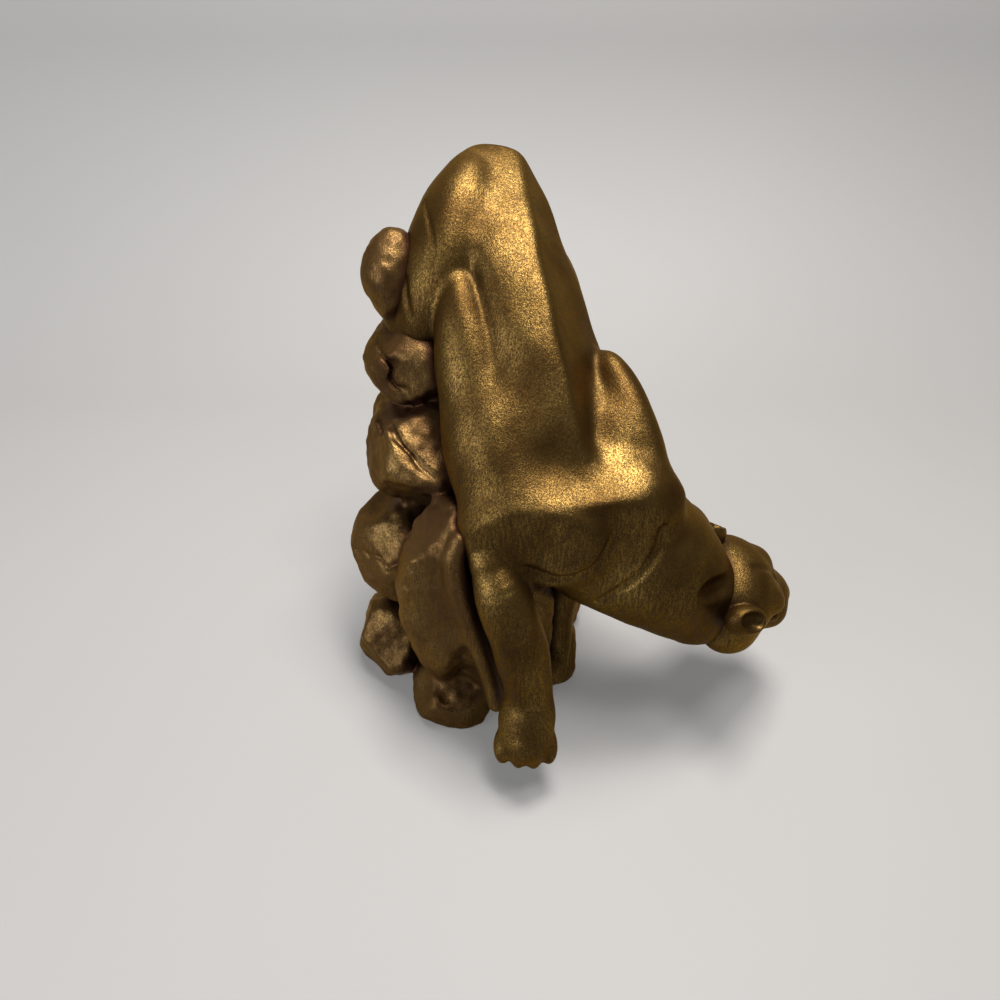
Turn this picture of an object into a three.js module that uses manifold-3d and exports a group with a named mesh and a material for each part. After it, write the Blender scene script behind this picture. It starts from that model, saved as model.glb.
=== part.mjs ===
// Cougar statue: a cougar coming down a stack of boulders with its head turned aside, cast in one piece with
// them. Millimetres, +Z up. The origin is on the flat underside, near its middle; the cougar comes down
// towards -Y.
import * as THREE from "three";
import Module from "manifold-3d";

const wasm = await Module();
wasm.setup();

// Driving sizes, in millimetres.
const HEIGHT = 330; // from the underside to the top of the rump
const FACET = 10.75; // edge of a facet on the trunk and the rocks
const FINE_FACET = 5.1; // edge of a facet on the head and the right foreleg

// The pose, girths and carving below are in shares of HEIGHT: x to the right, y away, z up.
const SHARES_HIGH = 98;
const SHARE = HEIGHT / SHARES_HIGH;

// Soft edges of the joins, in shares: how far two masses run into each other.
const FLESH = 6;
const MUSCLE = 3;
const FOLD = 1.8;
const STONE = 1.6;

const REACH = 8; // beyond this distance a form's bounding ball stands in for it, which only saves time
const GOLDEN_TURN = Math.PI * (3 - Math.sqrt(5)); // the turn between two flats of a boulder
const FLAT_EDGE = 0.7; // the soft edge between two flats
const JUST_INSIDE = -1e-3; // the value of a place that is filled in
const NUDGE = 0.05; // the step over which a field's slope is taken
const LONGEST_MOVE = 0.6; // how far a point of the net may settle

const clamp = THREE.MathUtils.clamp;

function length(x, y, z) {
  return Math.sqrt(x * x + y * y + z * z);
}

function dot(a, b) {
  return a[0] * b[0] + a[1] * b[1] + a[2] * b[2];
}

// The field, with the distance to a ball around it used where the point is far away.
function near(middle, radius, exact) {
  return (x, y, z) => {
    const far = length(x - middle[0], y - middle[1], z - middle[2]) - radius;
    return far > REACH ? far : exact(x, y, z);
  };
}

// Fields: each form is a function of x, y and z that gives about how far the point is outside it.

function egg(tipA, tipB, across, deep, side = [1, 0, 0]) {
  const a = new THREE.Vector3(...tipA);
  const b = new THREE.Vector3(...tipB);
  const middle = a.clone().add(b).multiplyScalar(0.5);
  const along = b.clone().sub(a);
  const long = along.length() / 2;
  along.normalize();
  const s = new THREE.Vector3(...side);
  s.addScaledVector(along, -s.dot(along)).normalize();
  const t = new THREE.Vector3().crossVectors(along, s);
  return near(middle.toArray(), Math.max(long, across, deep), (x, y, z) => {
    const dx = x - middle.x;
    const dy = y - middle.y;
    const dz = z - middle.z;
    const u = (dx * along.x + dy * along.y + dz * along.z) / long;
    const v = (dx * s.x + dy * s.y + dz * s.z) / across;
    const w = (dx * t.x + dy * t.y + dz * t.z) / deep;
    const reach = length(u, v, w);
    if (reach === 0) return -Math.min(long, across, deep);
    return (reach * (reach - 1)) / length(u / long, v / across, w / deep);
  });
}

// A tapering round form along a smooth line; each point is [x, y, z, radius].
function limb(points, steps = 3) {
  const places = points.map((p) => new THREE.Vector3(p[0], p[1], p[2]));
  const line = new THREE.CatmullRomCurve3(places, false, "centripetal");
  const last = points.length - 1;
  const count = last * steps;
  const knots = [];
  for (let i = 0; i <= count; i++) {
    const t = i / count;
    const k = Math.min(Math.floor(t * last), last - 1);
    const f = t * last - k;
    const ease = f * f * (3 - 2 * f);
    const c = line.getPoint(t);
    knots.push([c.x, c.y, c.z, points[k][3] + (points[k + 1][3] - points[k][3]) * ease]);
  }
  const middle = [0, 1, 2].map((m) => knots.reduce((sum, k) => sum + k[m], 0) / knots.length);
  const away = (k) => length(k[0] - middle[0], k[1] - middle[1], k[2] - middle[2]);
  const radius = Math.max(...knots.map((k) => away(k) + k[3]));
  return near(middle, radius, (x, y, z) => {
    let nearest = Infinity;
    for (let i = 0; i < count; i++) {
      const p = knots[i];
      const q = knots[i + 1];
      const ex = q[0] - p[0];
      const ey = q[1] - p[1];
      const ez = q[2] - p[2];
      const along = (x - p[0]) * ex + (y - p[1]) * ey + (z - p[2]) * ez;
      const t = clamp(along / (ex * ex + ey * ey + ez * ez), 0, 1);
      const d = length(x - p[0] - ex * t, y - p[1] - ey * t, z - p[2] - ez * t) - p[3] - (q[3] - p[3]) * t;
      if (d < nearest) nearest = d;
    }
    return nearest;
  });
}

// A boulder: an ellipsoid cut by soft flats that face all round it. Turn sets where they fall, and flatAt how
// far out they lie, from 0 at its middle to 1 at its round.
function boulder(middle, radii, turn = 0, flats = 11, flatAt = 0.86) {
  const least = Math.min(...radii);
  const faces = [];
  for (let i = 0; i < flats; i++) {
    const up = 1 - (2 * i + 1) / flats;
    const round = i * GOLDEN_TURN + turn;
    const out = Math.sqrt(1 - up * up);
    faces.push([out * Math.cos(round), out * Math.sin(round), up]);
  }
  return near(middle, Math.max(...radii), (x, y, z) => {
    const u = (x - middle[0]) / radii[0];
    const v = (y - middle[1]) / radii[1];
    const w = (z - middle[2]) / radii[2];
    const reach = length(u, v, w);
    const slope = length(u / radii[0], v / radii[1], w / radii[2]);
    let d = reach === 0 ? -least : (reach * (reach - 1)) / slope;
    for (const f of faces) d = softMax(d, (dot(f, [u, v, w]) - flatAt) * least, FLAT_EDGE);
    return d;
  });
}

function softMin(a, b, k) {
  const h = Math.max(k - Math.abs(a - b), 0) / k;
  return Math.min(a, b) - (h * h * k) / 4;
}

function softMax(a, b, k) {
  return -softMin(-a, -b, k);
}

function blend(k, ...forms) {
  return (x, y, z) => {
    let d = forms[0](x, y, z);
    for (let i = 1; i < forms.length; i++) d = softMin(d, forms[i](x, y, z), k);
    return d;
  };
}

// Keeps only what is inside every one of the limits too.
function cut(k, form, ...limits) {
  return (x, y, z) => {
    let d = form(x, y, z);
    for (const limit of limits) d = softMax(d, limit(x, y, z), k);
    return d;
  };
}

// A form turned inside out, to cut with it.
function outside(form) {
  return (x, y, z) => -form(x, y, z);
}

// A form drawn in by a distance, to carry a finer one that covers it.
function inset(distance, form) {
  return (x, y, z) => form(x, y, z) + distance;
}

// The cougar's own directions on its trunk: to its left, and out of its back.
const LEFT = [0.9, 0.43, 0];
const BACK = [0.305, -0.65, 0.696];
const RIDGE = [13.2, 4.5, 83.5]; // a point on the sharp edge that its spine makes
const BACK_WAY = [0.12, -0.63, 0.767]; // the way that the plane of its back faces

// A flat limit through a point: negative behind it.
function flat(point, facing) {
  const size = length(...facing);
  const offset = dot(facing, point);
  return (x, y, z) => (facing[0] * x + facing[1] * y + facing[2] * z - offset) / size;
}

// A gently rounded limit that touches a flat one at a point.
function dome(point, facing, radius) {
  const size = length(...facing);
  const centre = point.map((p, m) => p - (facing[m] / size) * radius);
  return (x, y, z) => length(x - centre[0], y - centre[1], z - centre[2]) - radius;
}

// A direction across the trunk: lean turns it from the back towards the cougar's left.
function facing(lean) {
  return [0, 1, 2].map((m) => BACK[m] * Math.cos(lean) + LEFT[m] * Math.sin(lean));
}

function trunk() {
  const waist = [0, 1, 2].map((m) => RIDGE[m] - LEFT[m] * 13.6 - BACK[m] * 2.2);
  const backTop = [0, 1, 2].map((m) => RIDGE[m] + BACK_WAY[m] * 1.3);
  const pelvis = egg([3.6, 26.8, 98.6], [11.4, 9.5, 76], 10.2, 12.4, LEFT);
  const loin = egg([7, 20, 86], [15.8, 2, 64], 10.8, 11.5, LEFT);
  const hips = cut(2, blend(FLESH, pelvis, loin), flat(waist, facing(-1.1)));
  const ribs = egg([9, 12, 74], [21, -8, 52], 13, 13.2, LEFT);
  const chest = egg([13.5, 1, 60], [25, -14.5, 35.5], 13, 11.6, LEFT);
  const sideRibs = egg([0, 2, 70], [9, -17, 45], 7, 9.5, LEFT);
  const back = dome(backTop, BACK_WAY, 85);
  const leftSide = dome(RIDGE, facing(0.7), 130);
  return cut(1.6, blend(FLESH, hips, ribs, chest, sideRibs), back, leftSide);
}

function flank() {
  return egg([-1.2, 9, 82.5], [4.2, -9.5, 53], 5.2, 7.6, LEFT);
}

function rightShoulder() {
  const blade = egg([1, -13.5, 52], [36.4, -11.8, 53.2], 9.5, 8, [0, 0, 1]);
  const upperArm = egg([-1, -14.5, 49], [26.5, -14.5, 50.5], 10, 9, [0, 0, 1]);
  const ledge = flat([20, -15.5, 59.6], [0, -0.4, 0.92]);
  const front = flat([14, -20.8, 50], [-0.1, -0.98, 0.06]);
  const farFront = flat([30, -18.6, 50], [0.1, -0.98, 0.06]);
  return blend(1, cut(0.8, blade, ledge, farFront), cut(0.8, upperArm, ledge, front));
}

function rightForeleg() {
  const leg = limb([
    [4.4, -19, 46, 3.4],
    [6.8, -22, 40, 4.8],
    [9.6, -24, 30, 4.8],
    [11.2, -25.5, 20, 4.3],
    [10.9, -27.5, 15, 5.2],
    [10.7, -29.5, 12.5, 4.9],
  ]);
  const toeTip = (i) => -33.5 + Math.abs(i - 1.5) * 0.9;
  const toes = [6.9, 9.5, 12.1, 14.6].map((x, i) => egg([x, -29, 12], [x, toeTip(i), 9], 1.7, 2));
  return blend(0.8, leg, ...toes);
}

// The fold of the rock that runs down beside the right foreleg.
function fold() {
  return limb([
    [-0.5, -17, 49, 1.6],
    [-1.5, -18.4, 45.7, 1.8],
    [0.8, -19.6, 32, 1.8],
    [4, -20.4, 19, 1.8],
    [5.4, -20.6, 10, 1.8],
  ]);
}

function leftShoulder() {
  return egg([24, 7.6, 70.2], [33, -14, 48], 4.5, 6.8, LEFT);
}

function leftForeleg() {
  return limb([
    [27, -3, 48, 6.5],
    [20.5, -4, 36, 5],
    [16.9, -6, 22, 4],
    [16.6, -7.5, 13, 3.9],
    [15.6, -11, 8.5, 3.9],
  ]);
}

function rightHindLeg() {
  const thigh = egg([-1, 23, 94], [-9.5, 8, 70], 5, 8.5, LEFT);
  const shank = limb([
    [-9, 11, 71, 3.4],
    [-12, 16, 74, 3],
    [-11, 19, 82, 2.6],
  ]);
  const foot = limb([
    [-11, 17, 78, 2.6],
    [-9.5, 12, 69, 2.8],
    [-8, 8, 65, 3],
  ]);
  return blend(1, thigh, shank, foot);
}

function leftHindLeg() {
  const thigh = egg([10.4, 26, 88.5], [16.6, 17, 64.5], 6.2, 8.5, LEFT);
  const shank = limb([
    [14.5, 16, 66, 4.2],
    [14.5, 22, 60, 3.4],
    [13.5, 27, 54, 2.8],
  ]);
  const foot = limb([
    [13.5, 27, 54, 2.8],
    [15, 24, 48, 2.9],
    [17.5, 19, 45.5, 3.4],
  ]);
  return blend(1, thigh, shank, foot);
}

function neck() {
  const nape = limb([
    [29.5, -8.5, 43, 10.8],
    [33, -9.8, 40, 10.6],
    [36, -10.6, 37.2, 10],
    [39.4, -10.4, 34, 8.4],
  ]);
  const throat = limb([
    [24, -9.5, 38, 9],
    [32.7, -9.2, 32.7, 8.8],
    [42.4, -9.8, 27, 8.3],
  ]);
  const ruff = egg([36.4, -16.4, 34.5], [40.4, -1.5, 42.5], 6, 8.2);
  return blend(1.5, blend(FLESH, nape, throat), ruff);
}

function tail() {
  return limb([
    [3, 26, 94, 3.4],
    [0, 29.5, 84, 2.9],
    [-1, 28.5, 70, 2.6],
    [0, 28.5, 54, 2.4],
    [5, 29, 40, 2.3],
    [12, 26.5, 30, 2.3],
    [19, 20, 26, 2.6],
  ]);
}

// The head has a middle and three directions of its own: ahead to the nose, to its left and up through the
// crown.
const HEAD = [49.8, -8.4, 29.5];
const AHEAD = [0.851, 0.3, -0.43];
const ASIDE = [-0.146, 0.924, 0.351];
const CROWN = [0.502, -0.236, 0.83];

function onHead(ahead, aside, up) {
  return [0, 1, 2].map((m) => HEAD[m] + AHEAD[m] * ahead + ASIDE[m] * aside + CROWN[m] * up);
}

function pair(make) {
  return [make(-1), make(1)];
}

// An ear: a round flap with a hollow in its outer face. Out says how far it stands from the skull, ahead how
// far forward.
function ear(side, out, ahead) {
  const back = ahead - 9.4;
  const front = ahead - 1.6;
  const flap = egg(onHead(back, side * out, 4.6), onHead(front, side * (out + 0.4), 4.2), 3.2, 2.4, CROWN);
  const hollowBack = onHead(back + 1.2, side * (out + 2.2), 4.8);
  const hollow = egg(hollowBack, onHead(front - 1, side * (out + 2.6), 4.4), 2.2, 1.7, CROWN);
  return cut(0.4, flap, outside(hollow));
}

function head() {
  const skull = egg(onHead(-9.5, 0, 0), onHead(7.5, 0, 0), 10, 7.8, ASIDE);
  const cheeks = pair((s) => egg(onHead(-5, s * 7.6, -4.4), onHead(7.4, s * 5.6, -5.6), 4.6, 4.8, ASIDE));
  const muzzle = egg(onHead(0, 0, -0.8), onHead(14.4, 0, -1.2), 6, 4.8, ASIDE);
  const pads = pair((s) => egg(onHead(4.4, s * 4.2, -1.6), onHead(14, s * 2.6, -1.8), 3.6, 3, ASIDE));
  const bridge = egg(onHead(2, 0, 3.2), onHead(13.6, 0, 0.2), 2.6, 2, ASIDE);
  const jaw = egg(onHead(-1, 0, -6.6), onHead(13.8, 0, -5.8), 6.4, 3.9, ASIDE);
  const brows = pair((s) => egg(onHead(1.5, s * 4.4, 4.6), onHead(7.4, s * 3.6, 3.2), 2.6, 2, ASIDE));
  const sockets = pair((s) => egg(onHead(3.6, s * 8.2, 2.2), onHead(8.2, s * 6.2, 1.6), 1.5, 1.8, CROWN));
  const face = blend(1.2, blend(MUSCLE, skull, muzzle, ...cheeks), ...pads, bridge, jaw, ...brows);
  return blend(0.8, cut(0.6, face, ...sockets.map(outside)), ear(-1, 8.8, 0), ear(1, 8.8, -2.4));
}

// The boulders stacked round the back: how many levels, how many in each, the turn between two, how far the
// lowest level reaches out, how much each level draws in, and the rise between two levels.
const BACK_LEVELS = 5;
const BACK_AROUND = 4;
const BACK_TURN = 0.95;
const BACK_WIDE = 15;
const BACK_TAPER = 1.6;
const BACK_RISE = 14;

function rocks() {
  const seen = [
    boulder([-12, 16, 80], [5.2, 7, 7.6], 0, 3, 1.2),
    boulder([-8, 12, 66.5], [9.6, 10, 7.5], 1),
    boulder([-7, 6, 51], [12, 12.5, 9.7], 2),
    boulder([-11.5, 3, 30], [11.8, 12, 12.5], 3),
    boulder([-15, 1, 6], [9.6, 11, 11], 6),
    boulder([-3.5, -13, 3], [8.2, 8, 8], 5),
  ];
  const slab = boulder([-3, -11, 29.5], [9.6, 9, 22.5], 4, 5, 0.95);
  const behindLeg = boulder([7, -11, 22], [9.5, 8.4, 22], 1.5, 5, 0.95);
  const rightFoot = boulder([14.5, -3, 4], [8.5, 8.5, 11], 7);
  const heart = limb([
    [3, 14, 4, 11],
    [2, 15, 40, 12],
    [1, 16, 66, 9],
  ]);
  const belly = limb([
    [4, 1, 4, 9],
    [3, 3, 26, 9],
    [3, 6, 44, 8],
  ]);
  const behind = [];
  for (let level = 0; level < BACK_LEVELS; level++)
    for (let i = 0; i < BACK_AROUND; i++) {
      const round = (i + (level % 2) * 0.5 - 0.35) * BACK_TURN;
      const grow = 1 + 0.24 * Math.sin(7 * level + 4 * i);
      const wide = BACK_WIDE - BACK_TAPER * level;
      const lift = level ? 3 * Math.sin(5 * level + 2 * i) : 0;
      const x = 2 + wide * Math.cos(round);
      const at = [x, 14 + (wide - 2) * Math.sin(round), 6 + BACK_RISE * level + lift];
      behind.push(boulder(at, [8.5 * grow, 8 * grow, 8.6 * grow], level + 2 * i));
    }
  return blend(STONE, heart, belly, slab, behindLeg, rightFoot, fold(), ...seen, ...behind);
}

const statue = blend(
  STONE,
  blend(
    FOLD,
    blend(MUSCLE, trunk(), rightShoulder(), neck()),
    leftShoulder(),
    flank(),
    rightHindLeg(),
    leftHindLeg(),
    leftForeleg(),
    inset(0.8, rightForeleg()),
    tail(),
  ),
  rocks(),
);

// Meshing: a net of one point for each cell that the surface passes through.

function gridLines(low, high, step) {
  return Array.from({ length: Math.ceil((high - low) / step) + 1 }, (_, i) => low + i * step);
}

// Fills one corner of each cell face whose inside corners touch only across the diagonal, so that the net is
// one skin.
function closeDiagonals(value, nx, ny, nz) {
  const stride = [1, nx, nx * ny];
  for (let changed = true; changed; ) {
    changed = false;
    for (let k = 1; k + 1 < nz; k++)
      for (let j = 1; j + 1 < ny; j++)
        for (let i = 1; i + 1 < nx; i++) {
          const here = (k * ny + j) * nx + i;
          for (let axis = 0; axis < 3; axis++) {
            const u = stride[(axis + 1) % 3];
            const v = stride[(axis + 2) % 3];
            const a = value[here] < 0;
            const b = value[here + u] < 0;
            if (a === b || a !== value[here + u + v] < 0 || b !== value[here + v] < 0) continue;
            value[a ? here + u : here] = JUST_INSIDE;
            changed = true;
          }
        }
  }
}

// Fills the hollows that no way from outside leads into, so that the cast has one skin.
function fillHollows(value, nx, ny, nz) {
  const open = new Uint8Array(value.length);
  const queue = [0];
  open[0] = 1;
  const stride = [1, nx, nx * ny];
  const count = [nx, ny, nz];
  while (queue.length) {
    const here = queue.pop();
    for (let axis = 0; axis < 3; axis++) {
      const place = Math.floor(here / stride[axis]) % count[axis];
      for (const way of [-1, 1]) {
        if (place + way < 0 || place + way >= count[axis]) continue;
        const next = here + way * stride[axis];
        if (open[next] || value[next] < 0) continue;
        open[next] = 1;
        queue.push(next);
      }
    }
  }
  for (let i = 0; i < value.length; i++) if (!open[i] && value[i] >= 0) value[i] = JUST_INSIDE;
}

function surfaceNet(field, xs, ys, zs) {
  const nx = xs.length;
  const ny = ys.length;
  const nz = zs.length;
  const at = (i, j, k) => (k * ny + j) * nx + i;
  const value = new Float32Array(nx * ny * nz);
  for (let k = 0; k < nz; k++)
    for (let j = 0; j < ny; j++)
      for (let i = 0; i < nx; i++) value[at(i, j, k)] = field(xs[i], ys[j], zs[k]) || JUST_INSIDE;

  closeDiagonals(value, nx, ny, nz);
  fillHollows(value, nx, ny, nz);

  const points = [];
  const pointOf = new Int32Array(nx * ny * nz).fill(-1);
  for (let k = 0; k + 1 < nz; k++)
    for (let j = 0; j + 1 < ny; j++)
      for (let i = 0; i + 1 < nx; i++) {
        const sum = [0, 0, 0];
        let crossings = 0;
        for (let c = 0; c < 8; c++)
          for (let axis = 0; axis < 3; axis++) {
            if (c & (1 << axis)) continue;
            const low = [i + (c & 1), j + ((c >> 1) & 1), k + ((c >> 2) & 1)];
            const high = [...low];
            high[axis]++;
            const a = value[at(...low)];
            const b = value[at(...high)];
            if (a < 0 === b < 0) continue;
            const t = a / (a - b);
            const p = [xs[low[0]], ys[low[1]], zs[low[2]]];
            const q = [xs[high[0]], ys[high[1]], zs[high[2]]];
            for (let m = 0; m < 3; m++) sum[m] += p[m] + (q[m] - p[m]) * t;
            crossings++;
          }
        if (!crossings) continue;
        pointOf[at(i, j, k)] = points.length;
        points.push(sum.map((s) => s / crossings));
      }

  const triangles = [];
  const step = [at(1, 0, 0), at(0, 1, 0), at(0, 0, 1)];
  for (let k = 1; k + 1 < nz; k++)
    for (let j = 1; j + 1 < ny; j++)
      for (let i = 1; i + 1 < nx; i++) {
        const here = at(i, j, k);
        for (let axis = 0; axis < 3; axis++) {
          const inside = value[here] < 0;
          if (inside === value[here + step[axis]] < 0) continue;
          const u = step[(axis + 1) % 3];
          const v = step[(axis + 2) % 3];
          const ring = [here - u - v, here - v, here, here - u].map((c) => pointOf[c]);
          if (!inside) ring.reverse();
          triangles.push(ring[0], ring[1], ring[2], ring[0], ring[2], ring[3]);
        }
      }
  return { points, triangles };
}

// Moves each point of the net onto the surface of the field.
function settle(points, field) {
  for (const p of points) {
    const [x, y, z] = p;
    const slope = [
      (field(x + NUDGE, y, z) - field(x - NUDGE, y, z)) / (2 * NUDGE),
      (field(x, y + NUDGE, z) - field(x, y - NUDGE, z)) / (2 * NUDGE),
      (field(x, y, z + NUDGE) - field(x, y, z - NUDGE)) / (2 * NUDGE),
    ];
    const steep = Math.max(dot(slope, slope), 0.25);
    const move = clamp(field(x, y, z) / steep, -LONGEST_MOVE, LONGEST_MOVE);
    for (let m = 0; m < 3; m++) p[m] -= slope[m] * move;
  }
}

function solidFrom(points, triangles) {
  const vertProperties = new Float32Array(points.flat().map((c) => c * SHARE));
  const triVerts = new Uint32Array(triangles);
  return new wasm.Manifold(new wasm.Mesh({ numProp: 3, vertProperties, triVerts }));
}

function boxSolid(low, high) {
  const size = high.map((h, i) => h - low[i]);
  const box = new THREE.BoxGeometry(...size);
  box.translate(...low.map((l, i) => l + size[i] / 2));
  const flat = box.toNonIndexed().attributes.position.array;
  const seen = new Map();
  const points = [];
  const triangles = [];
  for (let i = 0; i < flat.length; i += 3) {
    const p = [flat[i], flat[i + 1], flat[i + 2]];
    const key = p.join();
    if (!seen.has(key)) {
      seen.set(key, points.length);
      points.push(p);
    }
    triangles.push(seen.get(key));
  }
  return solidFrom(points, triangles);
}

// A solid of the field between two corners, in facets of the given size in millimetres.
function solidOf(field, low, high, facet) {
  const step = facet / SHARE;
  const [xs, ys, zs] = low.map((l, m) => gridLines(l, high[m], step));
  const net = surfaceNet(field, xs, ys, zs);
  settle(net.points, field);
  return solidFrom(net.points, net.triangles);
}

// The rooms that the parts of the cast lie in, as their lowest and highest corners.
const BODY_ROOM = [[-32, -42, -12], [60, 44, 108]];
const HEAD_ROOM = [[34, -32, 6], [72, 12, 48]];
const FORELEG_ROOM = [[-4, -42, 2], [22, -10, 56]];
const ABOVE_GROUND = [[-60, -60, 0], [90, 60, 120]];

const body = solidOf(statue, ...BODY_ROOM, FACET);
const face = solidOf(head(), ...HEAD_ROOM, FINE_FACET);
const foreleg = solidOf(rightForeleg(), ...FORELEG_ROOM, FINE_FACET);
const cast = body.add(face).add(foreleg).intersect(boxSolid(...ABOVE_GROUND));

const mesh = cast.getMesh();
const geometry = new THREE.BufferGeometry();
geometry.setAttribute("position", new THREE.BufferAttribute(mesh.vertProperties, 3));
geometry.setIndex(new THREE.BufferAttribute(mesh.triVerts, 1));
geometry.computeVertexNormals();

const gold = new THREE.MeshStandardMaterial({ color: 0x8a6a2f, metalness: 0.85, roughness: 0.42 });
const figure = new THREE.Mesh(geometry, gold);
figure.name = "cougar_on_rocks";

const group = new THREE.Group();
group.add(figure);

export default group;
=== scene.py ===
"""Looks of the cougar statue: the same carved masses as the cast, in a fine skin with its old gold paint.

Lengths of the carving are in shares of the statue's height, of which it has 98. They are in the frame of the
cast: x to the right, y away and z up, with the origin on the flat underside.
"""

import logging
import math
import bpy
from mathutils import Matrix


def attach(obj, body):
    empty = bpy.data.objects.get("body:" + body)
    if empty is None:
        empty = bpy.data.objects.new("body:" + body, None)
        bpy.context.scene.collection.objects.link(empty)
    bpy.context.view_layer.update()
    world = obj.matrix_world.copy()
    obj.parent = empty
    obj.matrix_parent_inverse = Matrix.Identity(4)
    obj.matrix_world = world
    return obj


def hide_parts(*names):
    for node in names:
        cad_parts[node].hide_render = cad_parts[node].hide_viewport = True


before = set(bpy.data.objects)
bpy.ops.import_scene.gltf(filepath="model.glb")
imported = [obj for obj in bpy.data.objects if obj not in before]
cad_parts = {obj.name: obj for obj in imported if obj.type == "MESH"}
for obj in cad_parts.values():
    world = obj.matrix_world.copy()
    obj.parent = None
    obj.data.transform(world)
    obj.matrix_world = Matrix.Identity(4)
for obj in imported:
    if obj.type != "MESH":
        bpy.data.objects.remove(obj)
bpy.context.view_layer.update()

from concurrent.futures import ThreadPoolExecutor
from dataclasses import dataclass, replace
from enum import Enum
from typing import Callable, Protocol, Sequence

import bpy
import numpy as np

HEIGHT = 0.330
SHARES_HIGH = 98
SHARE = HEIGHT / SHARES_HIGH

Triple = tuple[float, float, float]
Places = np.ndarray
Form = Callable[[Places], np.ndarray]
Socket = bpy.types.NodeSocket
Given = Socket | Triple | float

# The name of the attribute that tells the paint how open the surface is; the paint darkens closed places, as
# patina and as painted shade in the creases.
PATINA_AND_SHADE_OPENNESS = "hollow"

log = logging.getLogger("cougar")


class Part(Protocol):
    """A part of the statue.

    It has the corners of the room that it lies in, the cell of its net in shares, the most triangles that it
    may have, and how strong the grain is on it.
    """

    low: Triple
    high: Triple
    cell: float
    most: int
    rough: float

    def form(self) -> Form:
        """Gives its form."""


class Edge(Enum):
    """How far two masses run into each other where they meet, in shares."""

    FLESH = 6.0
    MUSCLE = 3.0
    LIMB = 2.6
    STONE = 2.4
    SWELL = 1.8
    FUR = 1.5
    FOLD = 1.2
    JOINT = 1.0
    RIDGE = 0.9
    LEDGE = 0.8
    FLAT = 0.6
    EAR = 0.4
    EYE = 0.3
    BASE = 0.2


# How far from its ball a form is still measured exactly, and how near a form's surface its swells are added.
REACH = 8.0
SWELL_REACH = 3.0
# A turn that spreads points evenly round a ball.
GOLDEN_TURN = 2.39996
# The least slope and the least gap to divide by, and how near an egg's middle counts as its middle.
TINY = 1e-9
TINY_GAP = 1e-4
TINY_REACH = 1e-5
# The slowest and the fastest waves of a ripple, and how much its crests stand out from its other waves.
WAVE_SPREAD = (0.7, 1.4)
CREST = 1.4
# How many places are measured at once, and on how many cores.
ROWS = 60000
CORES = 4
# The corners of a cell.
CORNERS = [(c & 1, c >> 1 & 1, c >> 2 & 1) for c in range(8)]


def length(v: Places) -> np.ndarray:
    """Gives the length of each row."""
    return np.sqrt(np.einsum("ij,ij->i", v, v))


def unit(v: Sequence[float]) -> np.ndarray:
    """Gives the direction of a vector."""
    v = np.asarray(v, float)
    return v / np.linalg.norm(v)


def measure(form: Form, places: np.ndarray) -> np.ndarray:
    """Evaluates a form at places, on several cores.

    Args:
        form: The form.
        places: The places, one row each.

    Returns:
        How far each of them is outside the form.
    """
    rows = places.astype(np.float32)
    parts = np.array_split(rows, max(1, len(rows) // ROWS))
    with ThreadPoolExecutor(CORES) as pool:
        return np.concatenate(list(pool.map(form, parts)))


def from_egg(q: Places, radii: np.ndarray) -> np.ndarray:
    """Tells about how far places are outside an egg round the origin.

    Args:
        q: The places, in shares of the egg's half sizes.
        radii: Its half sizes.

    Returns:
        The distances, negative inside.
    """
    reach = length(q)
    slope = length(q / radii)
    return np.where(reach < TINY_REACH, -radii.min(), reach * (reach - 1) / np.maximum(slope, TINY))


def near(middle: Sequence[float], radius: float, exact: Form) -> Form:
    """Lets a ball stand in for a form where it is far away.

    Args:
        middle: The middle of the ball.
        radius: Its radius, which holds the whole form.
        exact: The form itself.

    Returns:
        A form that is exact within REACH of the ball.
    """
    middle = np.asarray(middle, np.float32)

    def form(p: Places) -> np.ndarray:
        """Measures the ball, and the form itself at those places that are close to it.

        Args:
            p: The places.

        Returns:
            How far outside it each of them is.
        """
        away = length(p - middle) - np.float32(radius)
        close = away < REACH
        if close.any():
            away[close] = exact(p[close])
        return away

    return form


def egg(
    tip_a: Sequence[float],
    tip_b: Sequence[float],
    across: float,
    deep: float,
    side: Sequence[float] = (1, 0, 0),
) -> Form:
    """Makes an egg-shaped mass.

    Args:
        tip_a: One end of its long axis.
        tip_b: The other end.
        across: Its half width along side.
        deep: Its half width across side.
        side: The direction that its width lies in.

    Returns:
        The form, about how far each place is outside it.
    """
    a, b = np.asarray(tip_a, float), np.asarray(tip_b, float)
    middle, along = (a + b) / 2, unit(b - a)
    long = float(np.linalg.norm(b - a)) / 2
    wide = unit(np.asarray(side) - along * np.dot(side, along))
    axes = np.stack([along, wide, np.cross(along, wide)], 1).astype(np.float32)
    radii = np.array([long, across, deep], np.float32)
    centre = middle.astype(np.float32)

    def exact(p: Places) -> np.ndarray:
        """Measures the egg at places p."""
        return from_egg(((p - centre) @ axes) / radii, radii)

    return near(middle, max(long, across, deep), exact)


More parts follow.
